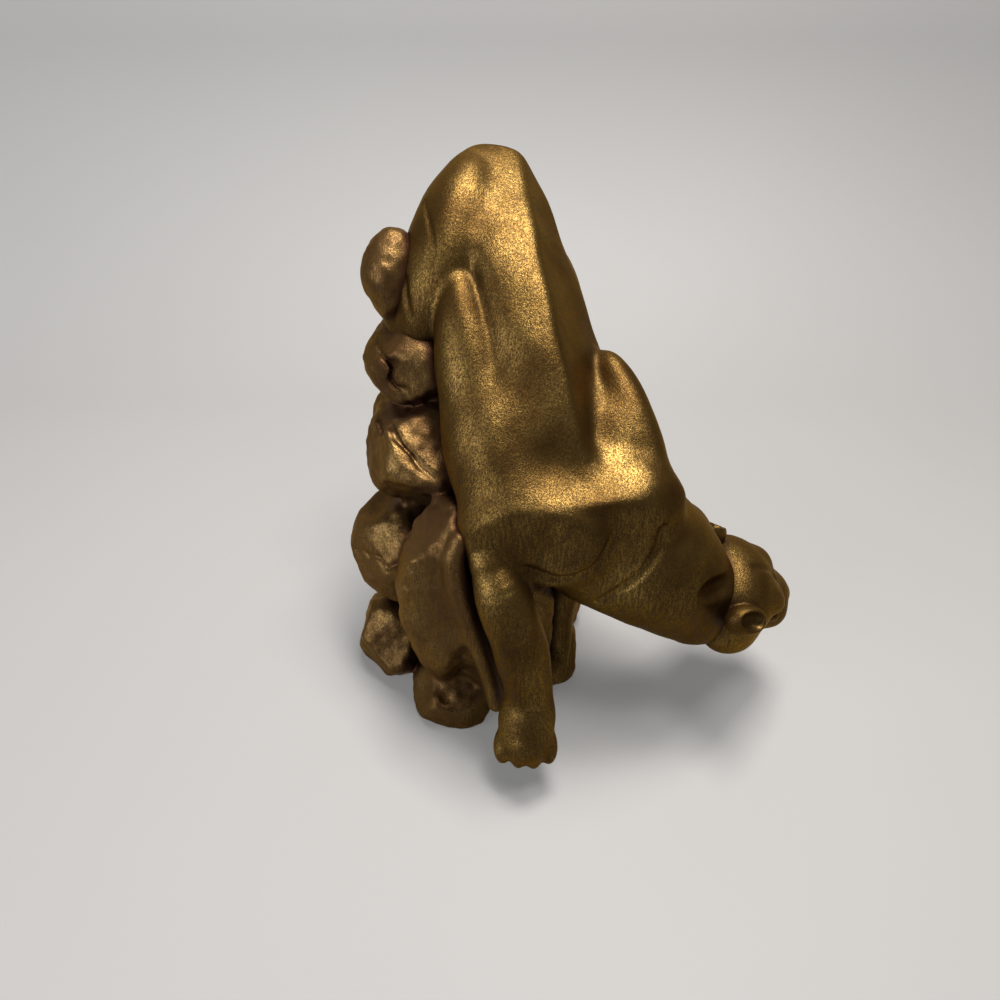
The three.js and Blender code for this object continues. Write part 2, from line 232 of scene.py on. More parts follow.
def smooth_line(points: Sequence[Sequence[float]], steps: int) -> np.ndarray:
    """Runs a smooth line through points.

    Args:
        points: Each x, y, z and radius.
        steps: The stretches between two points.

    Returns:
        The knots of the line, one row of x, y, z and radius each.
    """
    rows = np.asarray(points, float)
    place, radius = rows[:, :3], rows[:, 3]
    last = len(rows) - 1
    ends = np.vstack([2 * place[0] - place[1], place, 2 * place[-1] - place[-2]])
    knots = []
    for i in range(last * steps + 1):
        k = min(i // steps, last - 1)
        f = i / steps - k
        p0, p1, p2, p3 = ends[k : k + 4]
        pairs = ((p0, p1), (p1, p2), (p2, p3))
        d0, d1, d2 = (max(np.linalg.norm(b - a) ** 0.5, TINY_GAP) for a, b in pairs)
        out = ((p1 - p0) / d0 - (p2 - p0) / (d0 + d1) + (p2 - p1) / d1) * d1
        into = ((p2 - p1) / d1 - (p3 - p1) / (d1 + d2) + (p3 - p2) / d2) * d1
        square, cube = 3 * (p2 - p1) - 2 * out - into, 2 * (p1 - p2) + out + into
        at = p1 + out * f + square * f * f + cube * f**3
        ease = f * f * (3 - 2 * f)
        knots.append([*at, radius[k] + (radius[k + 1] - radius[k]) * ease])
    return np.array(knots)


def limb(points: Sequence[Sequence[float]], steps: int = 6) -> Form:
    """Makes a tapering round form along a smooth line.

    Args:
        points: Each x, y, z and radius.
        steps: The stretches between two points.

    Returns:
        The form.
    """
    knots = smooth_line(points, steps).astype(np.float32)
    middle = knots[:, :3].mean(0)
    radius = float((length(knots[:, :3] - middle) + knots[:, 3]).max())

    def exact(p: Places) -> np.ndarray:
        """Measures the form by the nearest stretch of its line.

        Args:
            p: The places.

        Returns:
            How far outside it each of them is.
        """
        nearest = np.full(len(p), np.inf, np.float32)
        for a, b in zip(knots[:-1], knots[1:]):
            run = b[:3] - a[:3]
            from_a = p - a[:3]
            t = np.clip(from_a @ run / np.dot(run, run), 0, 1)
            nearest = np.minimum(nearest, length(from_a - t[:, None] * run) - a[3] - (b[3] - a[3]) * t)
        return nearest

    return near(middle, radius, exact)


def soft_min(a: np.ndarray, b: np.ndarray, k: float) -> np.ndarray:
    """Joins two distances with an edge of width k."""
    h = np.maximum(k - np.abs(a - b), 0) / k
    return np.minimum(a, b) - h * h * (k / 4)


def soft_max(a: np.ndarray, b: np.ndarray, k: float) -> np.ndarray:
    """Cuts one distance by another with an edge of width k."""
    return -soft_min(-a, -b, k)


def boulder(
    middle: Triple, radii: Triple, turn: float = 0, flats: int = 11, flat_at: float = 0.88
) -> Form:
    """Makes a boulder: an egg-shaped stone with soft flats that face all round it.

    Args:
        middle: Its middle.
        radii: Its half sizes.
        turn: Sets where the flats fall.
        flats: How many there are.
        flat_at: How far out they lie, from 0 at the middle to 1 at the round of the stone.

    Returns:
        The form.
    """
    size = np.asarray(radii, np.float32)
    centre = np.asarray(middle, np.float32)
    least = float(size.min())
    up = 1 - (2 * np.arange(flats) + 1) / flats
    round_ = np.arange(flats) * GOLDEN_TURN + turn
    out = np.sqrt(1 - up * up)
    faces = np.stack([out * np.cos(round_), out * np.sin(round_), up], 1).astype(np.float32)

    def exact(p: Places) -> np.ndarray:
        """Measures the stone, cut by each of its flats.

        Args:
            p: The places.

        Returns:
            How far outside it each of them is.
        """
        q = (p - centre) / size
        d = from_egg(q, size)
        for face in faces:
            d = soft_max(d, (q @ face - flat_at) * least, Edge.FLAT.value)
        return d

    return near(middle, float(size.max()), exact)


def blend(edge: Edge, *forms: Form) -> Form:
    """Joins forms with soft edges.

    Args:
        edge: How far they run into each other.
        forms: The forms.

    Returns:
        The joined form.
    """
    k = edge.value

    def form(p: Places) -> np.ndarray:
        """Measures the nearest of the forms.

        Args:
            p: The places.

        Returns:
            How far outside it each of them is.
        """
        d = forms[0](p)
        for other in forms[1:]:
            d = soft_min(d, other(p), k)
        return d

    return form


def cut(edge: Edge, form: Form, *limits: Form) -> Form:
    """Keeps only what is inside every one of the limits too.

    Args:
        edge: How soft the edge of the cut is.
        form: What is cut.
        limits: The limits.

    Returns:
        What is left.
    """
    k = edge.value

    def kept(p: Places) -> np.ndarray:
        """Measures the form, or the limit that cuts most.

        Args:
            p: The places.

        Returns:
            How far outside it each of them is.
        """
        d = form(p)
        for limit in limits:
            d = soft_max(d, limit(p), k)
        return d

    return kept


def outside(form: Form) -> Form:
    """Turns a form inside out, to cut with it."""
    return lambda p: -form(p)


def flat(point: Sequence[float], facing: Sequence[float]) -> Form:
    """Makes a flat limit.

    Args:
        point: A point on it.
        facing: The way that it faces.

    Returns:
        The limit, negative behind it.
    """
    way = unit(facing).astype(np.float32)
    offset = float(np.dot(way, point))
    return lambda p: p @ way - offset


def dome(point: Sequence[float], facing: Sequence[float], radius: float) -> Form:
    """Makes a gently rounded limit that touches a flat one at a point."""
    centre = (np.asarray(point) - unit(facing) * radius).astype(np.float32)
    return lambda p: length(p - centre) - np.float32(radius)


def barrel(
    point: Sequence[float], facing: Sequence[float], along: Sequence[float], radius: float, long: float
) -> Form:
    """Makes a limit that is rounded across and nearly straight along, and touches a flat one at a point.

    Args:
        point: The point.
        facing: The way that it faces there.
        along: The direction that it is nearly straight in.
        radius: Its radius across.
        long: Its radius along.

    Returns:
        The limit, negative behind it.
    """
    out = unit(facing)
    line = unit(np.asarray(along) - out * np.dot(along, out))
    axes = np.stack([out, line, np.cross(out, line)], 1).astype(np.float32)
    origin = np.asarray(point, np.float32)

    def form(p: Places) -> np.ndarray:
        """Measures the limit.

        Args:
            p: The places.

        Returns:
            How far outside it each of them is.
        """
        q = (p - origin) @ axes
        drop = q[:, 1] * q[:, 1] / np.float32(2 * long)
        across = q[:, 2]
        up = q[:, 0] + drop + np.float32(radius)
        return np.sqrt(up * up + across * across) - np.float32(radius)

    return form


def crease(form: Form, points: Sequence[Triple], wide: float, deep: float) -> Form:
    """Draws a line into a form, or a raised one where deep is negative.

    Args:
        form: What it is drawn into.
        points: The places that the line runs through.
        wide: Its half width.
        deep: Its depth at the middle.

    Returns:
        The form with its line.
    """
    line = limb([(*p, 0.0) for p in points])

    def drawn(p: Places) -> np.ndarray:
        """Measures the form with the line in it.

        Args:
            p: The places.

        Returns:
            How far outside it each of them is.
        """
        d = form(p)
        close = np.abs(d) < REACH / 2
        if close.any():
            away = line(p[close]) / wide
            d[close] += deep * np.exp(-away * away)
        return d

    return drawn


def fissure(form: Form, point: Triple, facing: Triple, size: float, wide: float, deep: float) -> Form:
    """Opens a wandering crack in a form, which fades out from its middle.

    Args:
        form: What it is opened in.
        point: Its middle.
        facing: The way across it.
        size: How far it runs before it fades.
        wide: Its half width.
        deep: Its depth at the middle.

    Returns:
        The form with its crack.
    """
    way = unit(facing).astype(np.float32)
    middle = np.asarray(point, np.float32)
    wander = ripple(size=5.0, height=0.9, seed=int(size * 10))

    def opened(p: Places) -> np.ndarray:
        """Measures the form with the crack in it.

        Args:
            p: The places.

        Returns:
            How far outside it each of them is.
        """
        d = form(p)
        close = (np.abs(d) < REACH / 2) & (length(p - middle) < 2 * size)
        if close.any():
            q = p[close]
            across = ((q - middle) @ way + wander(q)) / np.float32(wide)
            away = length(q - middle) / np.float32(size)
            d[close] += deep * np.exp(-across * across - away * away)
        return d

    return opened


def ripple(size: float, height: float, seed: int, waves: int = 7) -> Form:
    """Makes an uneven swell, as a hand leaves in clay.

    Args:
        size: The length of a wave.
        height: The most that it lifts.
        seed: Sets its pattern.
        waves: How many waves cross.

    Returns:
        A form that gives the lift at each place.
    """
    draw = np.random.default_rng(seed)
    ways = draw.normal(size=(3, waves))
    ways *= math.tau / size / np.linalg.norm(ways, axis=0) * draw.uniform(*WAVE_SPREAD, waves)
    ways = ways.astype(np.float32)
    shift = draw.uniform(0, math.tau, waves).astype(np.float32)
    lift = np.float32(height / math.sqrt(waves) / CREST)
    return lambda p: np.sin(p @ ways + shift).sum(1) * lift


def uneven(form: Form, lift: Form) -> Form:
    """Adds a swell to a form near its surface.

    Args:
        form: The form.
        lift: How far its surface is lifted at each place.

    Returns:
        The uneven form.
    """

    def swelled(p: Places) -> np.ndarray:
        """Measures the form with its swell.

        Args:
            p: The places.

        Returns:
            How far outside it each of them is.
        """
        d = form(p)
        close = np.abs(d) < SWELL_REACH
        if close.any():
            d[close] -= lift(p[close])
        return d

    return swelled


class Net:
    """Turns a form into a skin of small faces, with fine cells only where the surface is."""

    COARSE = 4
    """How many fine cells a coarse cell is long."""

    MARGIN = 1.5
    """How far from the surface, in coarse cells, a coarse cell is still made fine."""

    def __init__(self, form: Form, low: Triple, high: Triple, step: float) -> None:
        """Keeps what the net is made of.

        Args:
            form: The form to wrap.
            low: The lowest corner of the room that it lies in.
            high: The highest corner.
            step: The size of a fine cell.
        """
        self.form = form
        self.low = np.asarray(low, float)
        self.step = step
        self.count = np.ceil((np.asarray(high) - self.low) / (step * self.COARSE)).astype(int)

    def values(self) -> np.ndarray:
        """Measures the form at every fine grid point; far from the surface only its sign counts.

        Returns:
            The distances, by x, y and z.
        """
        coarse_step = self.step * self.COARSE
        grid = np.stack(np.meshgrid(*(np.arange(c + 1) for c in self.count), indexing="ij"), -1)
        coarse = measure(self.form, self.low + grid.reshape(-1, 3) * coarse_step).reshape(grid.shape[:3])
        cells = coarse[:-1, :-1, :-1]
        fine = cells.repeat(self.COARSE, 0).repeat(self.COARSE, 1).repeat(self.COARSE, 2)
        least = np.full(cells.shape, np.inf, np.float32)
        nx, ny, nz = self.count
        for i, j, k in CORNERS:
            least = np.minimum(least, np.abs(coarse[i : i + nx, j : j + ny, k : k + nz]))
        busy = np.argwhere(least < self.MARGIN * coarse_step)
        inner = np.stack(np.meshgrid(*[np.arange(self.COARSE)] * 3, indexing="ij"), -1).reshape(-1, 3)
        index = (busy[:, None, :] * self.COARSE + inner).reshape(-1, 3)
        fine[index[:, 0], index[:, 1], index[:, 2]] = measure(self.form, self.low + index * self.step)
        return fine

    def build(self) -> tuple[np.ndarray, np.ndarray]:
        """Makes the skin.

        Returns:
            Its points, and its faces of four corners each.
        """
        value = self.values()
        inside = value < 0
        inside[[0, -1]] = inside[:, [0, -1]] = inside[:, :, [0, -1]] = False
        nx, ny, nz = np.array(value.shape) - 1
        full = np.zeros((nx, ny, nz), np.uint8)
        for i, j, k in CORNERS:
            full += inside[i : i + nx, j : j + ny, k : k + nz]
        cells = np.argwhere((full > 0) & (full < len(CORNERS)))
        number = np.full(value.shape, -1, np.int32)
        number[cells[:, 0], cells[:, 1], cells[:, 2]] = np.arange(len(cells))
        return self.one_skin(self.points(value, cells), self.faces(inside, number))

    def points(self, value: np.ndarray, cells: np.ndarray) -> np.ndarray:
        """Puts a point in each cell, at the middle of where the surface crosses the cell's edges.

        Args:
            value: The form at every grid point.
            cells: The cells that the surface passes through.

        Returns:
            The points, one for each cell.
        """
        total = np.zeros((len(cells), 3))
        crossings = np.zeros(len(cells))
        for c, low in enumerate(CORNERS):
            for axis in range(3):
                if c & (1 << axis):
                    continue
                a_at = cells + low
                b_at = a_at.copy()
                b_at[:, axis] += 1
                a, b = value[tuple(a_at.T)], value[tuple(b_at.T)]
                hit = (a < 0) != (b < 0)
                t = a[hit] / (a[hit] - b[hit])
                p = a_at[hit].astype(float)
                p[:, axis] += t
                total[hit] += p
                crossings[hit] += 1
        return self.low + total / np.maximum(crossings, 1)[:, None] * self.step

    @staticmethod
    def faces(inside: np.ndarray, number: np.ndarray) -> np.ndarray:
        """Spans a face over each grid edge that the surface crosses.

        Args:
            inside: Whether each grid point is inside the form.
            number: The number of each cell's point.

        Returns:
            The faces, of four points each.
        """
        faces = []
        for axis in range(3):
            here = [slice(1, -1)] * 3
            there = list(here)
            there[axis] = slice(2, None)
            change = np.argwhere(inside[tuple(here)] != inside[tuple(there)]) + 1
            u, v = np.eye(3, dtype=int)[(axis + 1) % 3], np.eye(3, dtype=int)[(axis + 2) % 3]
            ring = np.stack([number[tuple((change - o).T)] for o in (u + v, v, 0 * u, u)], 1)
            out = ~inside[tuple(change.T)]
            ring[out] = ring[out, ::-1]
            faces.append(ring)
        return np.concatenate(faces)

    @staticmethod
    def one_skin(points: np.ndarray, faces: np.ndarray) -> tuple[np.ndarray, np.ndarray]:
        """Keeps the largest skin and drops the hollows inside it.

        Args:
            points: The points of all skins.
            faces: Their faces.

        Returns:
            The points and faces of the largest.
        """
        label = np.arange(len(points))
        edges = np.concatenate([faces[:, [i, (i + 1) % 4]] for i in range(4)])
        while True:
            least = np.minimum(label[edges[:, 0]], label[edges[:, 1]])
            after = label.copy()
            np.minimum.at(after, edges[:, 0], least)
            np.minimum.at(after, edges[:, 1], least)
            after = after[after]
            if (after == label).all():
                break
            label = after
        kept = label == np.bincount(label).argmax()
        renumber = np.cumsum(kept) - 1
        return points[kept], renumber[faces[kept[faces[:, 0]]]]


# The cougar's left and the way that its back faces, and a place on the ridge of its spine.
LEFT = (0.9, 0.43, 0.0)
BACK = (0.305, -0.65, 0.696)
RIDGE = (13.2, 4.5, 83.5)


def facing(lean: float) -> np.ndarray:
    """Gives a direction across the trunk: lean turns it from the back towards the cougar's left."""
    return np.array(BACK) * math.cos(lean) + np.array(LEFT) * math.sin(lean)


@dataclass
class CougarBody:
    """The trunk, the neck, the four legs and the tail."""

    low: Triple = (-30, -42, 0)
    high: Triple = (58, 44, 104)
    cell: float = 0.36
    most: int = 195000
    rough: float = 0.2
    girth: float = 13.0
    back_way: Triple = (0.12, -0.63, 0.767)
    spine: Triple = (-0.287, 0.573, 0.768)
    waist_lean: float = -1.1
    side_lean: float = 0.7

    def trunk(self) -> Form:
        """Makes the ribs, chest and hips, with the sharp ridge of the spine.

        Returns:
            The form.
        """
        ridge, side = np.array(RIDGE), facing(self.side_lean)
        waist = flat(ridge - np.array(LEFT) * 13.6 - np.array(BACK) * 2.2, facing(self.waist_lean))
        left_side = dome(ridge + side * 0.3, side - np.array(self.spine) * 0.03, radius=200)
        back = barrel(ridge + np.array(self.back_way) * 0.7, self.back_way, self.spine, radius=21, long=78)
        pelvis = egg((3.3, 26.8, 98.0), (11.4, 9.5, 76), 9.1, 14.2, LEFT)
        loin = egg((6.4, 20, 86), (14.6, 2, 64), 10.6, 15, LEFT)
        ribs = egg((9, 12, 74), (21, -8, 52), self.girth, 13.2, LEFT)
        chest = egg((13.5, 1, 60), (25, -14.5, 35.5), self.girth, 11.6, LEFT)
        side_ribs = egg((0, 2, 70), (9, -17, 45), 7, 8.9, LEFT)
        hips = cut(Edge.FUR, blend(Edge.MUSCLE, pelvis, loin), waist)
        ridged = cut(Edge.RIDGE, blend(Edge.FLESH, hips, ribs, chest), left_side, back)
        return blend(Edge.FLESH, ridged, side_ribs)

    def flank(self) -> Form:
        """Makes the long muscle over the right flank."""
        return egg((-1, 9.6, 83), (4.8, -9.5, 52), 6.0, 6.4, LEFT)

    def right_shoulder(self) -> Form:
        """Makes the shoulder blade and upper arm, with their sharp upper ledge.

        Returns:
            The form.
        """
        blade = egg((1, -13.5, 52), (36.4, -11.8, 53.2), 9.5, 8, (0, 0, 1))
        upper_arm = egg((-1, -14.5, 49), (26.5, -14.5, 50.5), 10, 9, (0, 0, 1))
        ledge = flat((20, -15.5, 59.6), (0, -0.4, 0.92))
        front = flat((14, -20.8, 50), (-0.1, -0.98, 0.06))
        far_front = flat((30, -18.6, 50), (0.1, -0.98, 0.06))
        blade = cut(Edge.LEDGE, blade, ledge, far_front)
        return blend(Edge.JOINT, blade, cut(Edge.LEDGE, upper_arm, ledge, front))

    def right_foreleg(self) -> Form:
        """Makes the foreleg that reaches down, with its four toes.

        Returns:
            The form.
        """
        leg = limb(
            [
                (4.4, -19, 46, 3.4),
                (6.8, -22, 40, 4.8),
                (9.6, -24, 30, 4.8),
                (11.2, -25.5, 20, 4.3),
                (10.9, -27.5, 15, 5.2),
                (10.7, -29.5, 12.5, 4.9),
            ]
        )
        toes = [
            egg((x, -28, 13), (x, -34 + abs(i - 1.5) * 0.9, 8.6), 1.75, 2.3)
            for i, x in enumerate((6.6, 9.3, 12.1, 14.8))
        ]
        return blend(Edge.LEDGE, leg, *toes)

    def left_shoulder(self) -> Form:
        """Makes the far shoulder, which shows as a long bar beside the trunk.

        Returns:
            The form.
        """
        bar = egg((23.3, 7.6, 69.9), (32.4, -14, 48), 4.6, 6.8, LEFT)
        root = egg((20, 4, 65), (28, -12.5, 50), 5.5, 7, LEFT)
        return blend(Edge.MUSCLE, bar, root)

    def left_foreleg(self) -> Form:
        """Makes the far foreleg, drawn back under the chest.

        Returns:
            The form.
        """
        return limb(
            [
                (27, -3, 48, 6.5),
                (20.5, -4, 36, 5),
                (16.9, -6, 22, 4),
                (16.6, -7.5, 13, 3.9),
                (15.6, -11, 8.5, 3.9),
            ]
        )

    def right_hind_leg(self) -> Form:
        """Makes the near hind leg, folded against the boulders.

        Returns:
            The form.
        """
        thigh = egg((1.4, 24.8, 96.2), (-8.5, 8, 70), 6.4, 8.5, LEFT)
        shank = limb([(-9, 11, 71, 3.4), (-12, 16, 74, 3), (-11, 19, 82, 2.6)])
        foot = limb([(-11, 17, 78, 2.6), (-9.5, 12, 69, 2.8), (-8, 8, 65, 3)])
        return blend(Edge.JOINT, thigh, shank, foot)

    def left_hind_leg(self) -> Form:
        """Makes the far hind leg, which stands on the boulders behind.

        Returns:
            The form.
        """
        thigh = egg((11.6, 23.5, 84), (16.6, 17, 62.5), 6.2, 8, LEFT)
        shank = limb([(14.5, 16, 66, 4.2), (14.5, 22, 60, 3.4), (13.5, 27, 54, 2.8)])
        foot = limb([(13.5, 27, 54, 2.8), (15, 24, 48, 2.9), (17.5, 19, 45.5, 3.4)])
        return blend(Edge.JOINT, thigh, shank, foot)

    def neck(self) -> Form:
        """Makes the throat and the ruff behind the head.

        Returns:
            The form.
        """
        nape = limb(
            [(29.5, -8.5, 43, 10.8), (33, -9.8, 40, 10.6), (36, -10.6, 37.2, 10), (39.4, -10.4, 34, 8.4)]
        )
        throat = limb([(24, -9.5, 38, 9), (32.7, -9.2, 32.7, 8.8), (42.4, -9.8, 27, 8.3)])
        ruff = egg((36.4, -16.4, 34.5), (40.4, -1.5, 42.5), 5.4, 8.0)
        return blend(Edge.FUR, blend(Edge.FLESH, nape, throat), ruff)

    def tail(self) -> Form:
        """Makes the tail, laid down the back of the boulders.

        Returns:
            The form.
        """
        return limb(
            [
                (3, 26, 94, 3.4),
                (0, 29.5, 84, 2.9),
                (-1, 28.5, 70, 2.6),
                (0, 28.5, 54, 2.4),
                (5, 29, 40, 2.3),
                (12, 26.5, 30, 2.3),
                (19, 20, 26, 2.6),
            ]
        )

    def form(self) -> Form:
        """Joins the masses of the body.

        Returns:
            The form.
        """
        trunk = blend(Edge.MUSCLE, self.trunk(), self.right_shoulder(), self.neck())
        joined = blend(
            Edge.FOLD,
            blend(Edge.LIMB, trunk, self.right_hind_leg(), self.left_shoulder()),
            self.flank(),
            self.left_hind_leg(),
            self.left_foreleg(),
            self.right_foreleg(),
            self.tail(),
        )
        nape_hollow = egg((40, -20, 39), (47, -15.6, 38), 1.9, 2.2)
        joined = cut(Edge.FOLD, joined, outside(nape_hollow))
        for line in self.lines():
            joined = crease(joined, *line)
        return uneven(joined, ripple(size=9.0, height=0.12, seed=3))

    def lines(self) -> list[tuple[list[Triple], float, float]]:
        """Gives the lines drawn over the body's muscles.

        Returns:
            The places, half width and depth of each.
        """
        thigh = [(-5.7, 17.5, 91.1), (-5, 12.9, 89.4), (-4.5, 9.7, 86.9), (-5, 8.5, 85.1)]
        arm = [
            (24.4, -19.9, 53.5),
            (23, -20.5, 50.4),
            (20.8, -21.2, 46.6),
            (15.7, -21.5, 44.6),
            (10.6, -20.9, 46.3),
        ]
        chest = [
            (32.2, -17.4, 51.8),
            (31.7, -18, 47.9),
            (29, -19.8, 43.8),
            (26, -19.9, 40.5),
            (23.1, -19.2, 36.9),
        ]
        waist = [(-9.3, 9.9, 81.6), (-8.8, 6.4, 77.2)]
        blade = [(20.4, -13.4, 62.2), (23.6, -13.2, 62.4), (27, -13, 61.6)]
        return [(thigh, 0.55, 0.5), (arm, 0.7, 1.2), (chest, 0.8, 1.1), (waist, 0.7, 0.5), (blade, 0.6, 0.5)]


@dataclass
class CougarHead:
    """The head, which has a middle and three directions of its own."""

    low: Triple = (34, -32, 8)
    high: Triple = (72, 12, 48)
    cell: float = 0.24
    most: int = 90000
    rough: float = 0.2
    middle: Triple = (49.8, -8.4, 29.5)
    ahead: Triple = (0.851, 0.3, -0.43)
    aside: Triple = (-0.146, 0.924, 0.351)
    crown: Triple = (0.502, -0.236, 0.83)

    def at(self, ahead: float, aside: float, up: float) -> np.ndarray:
        """Gives a place on the head from its three ways: to the nose, to its left and to the crown."""
        ways = np.array([self.ahead, self.aside, self.crown])
        return np.array(self.middle) + np.array([ahead, aside, up]) @ ways

    def pair(self, make: Callable[[int], Form]) -> list[Form]:
        """Makes a form for each side of the face."""
        return [make(-1), make(1)]

    def ear(self, side: int, out: float, ahead: float) -> Form:
        """Makes a round ear with a hollow in its outer face.

        Args:
            side: -1 for the right ear, 1 for the left.
            out: How far it stands from the middle of the skull.
            ahead: How far forward it is.

        Returns:
            The form.
        """
        back, front, crown = ahead - 9.4, ahead - 1.4, self.crown
        flap = egg(self.at(back, side * out, 4.6), self.at(front, side * (out + 0.4), 4.2), 3.4, 2.6, crown)
        hollow_back = self.at(back + 1, side * (out + 1.1), 6.7)
        hollow_front = self.at(front - 1, side * (out + 1.6), 6.4)
        return cut(Edge.EAR, flap, outside(egg(hollow_back, hollow_front, 2.1, 1.6, crown)))

    def form(self) -> Form:
        """Joins the masses of the head, and sets its eyes, nose, mouth line and ears.

        Returns:
            The form.
        """
        at, pair, aside, crown = self.at, self.pair, self.aside, self.crown
        skull = egg(at(-9.5, 0, 0), at(7.5, 0, 0), 10, 7.8, aside)
        cheeks = pair(lambda s: egg(at(-5, s * 7.6, -4.4), at(7.4, s * 5.6, -5.6), 4.6, 4.8, aside))
        muzzle = egg(at(0, 0, -0.8), at(14.4, 0, -1.2), 6, 4.8, aside)
        pads = pair(lambda s: egg(at(4.4, s * 4.2, -1.6), at(14, s * 2.6, -1.8), 3.6, 3, aside))
        bridge = egg(at(2, 0, 3.2), at(13.6, 0, 0.2), 2.6, 2.0, aside)
        jaw = egg(at(-1, 0, -6.6), at(13.8, 0, -5.8), 6.4, 3.9, aside)
        brows = pair(lambda s: egg(at(1.5, s * 4.4, 4.6), at(7.4, s * 3.6, 3.2), 2.6, 2, aside))
        sockets = pair(lambda s: outside(egg(at(3.6, s * 8.2, 2.2), at(8.2, s * 6.2, 1.6), 1.5, 1.8, crown)))
        eyes = pair(lambda s: egg(at(4.2, s * 6.9, 1.9), at(7.4, s * 5.9, 1.6), 1.2, 1.1, crown))
        nose = egg(at(10.6, 0, 1.0), at(15, 0, 0.1), 2.1, 1.4, aside)
        nostrils = pair(
            lambda s: outside(egg(at(13.4, s * 0.9, 0), at(15.6, s * 1.5, -0.5), 0.55, 0.5, crown))
        )
        face = blend(Edge.SWELL, blend(Edge.MUSCLE, skull, muzzle, *cheeks), *pads, bridge, jaw, *brows)
        face = blend(Edge.EYE, cut(Edge.FLAT, face, *sockets), *eyes)
        face = cut(Edge.EYE, blend(Edge.FLAT, face, nose), *nostrils)
        for s in (-1, 1):
            mouth = [(14, 0, -3.6), (12.6, 3.6 * s, -3.8), (9.4, 6.4 * s, -4.2), (5.6, 8.2 * s, -4.4)]
            face = crease(face, [at(*place) for place in mouth], wide=0.85, deep=1.6)
        furrow = [at(-2.4, 0, 8), at(1.5, 0, 7.6), at(5.8, 0, 5.4)]
        face = crease(face, furrow, wide=0.6, deep=0.5)
        return blend(Edge.LEDGE, face, self.ear(-1, 8.8, 0), self.ear(1, 7.4, -3))


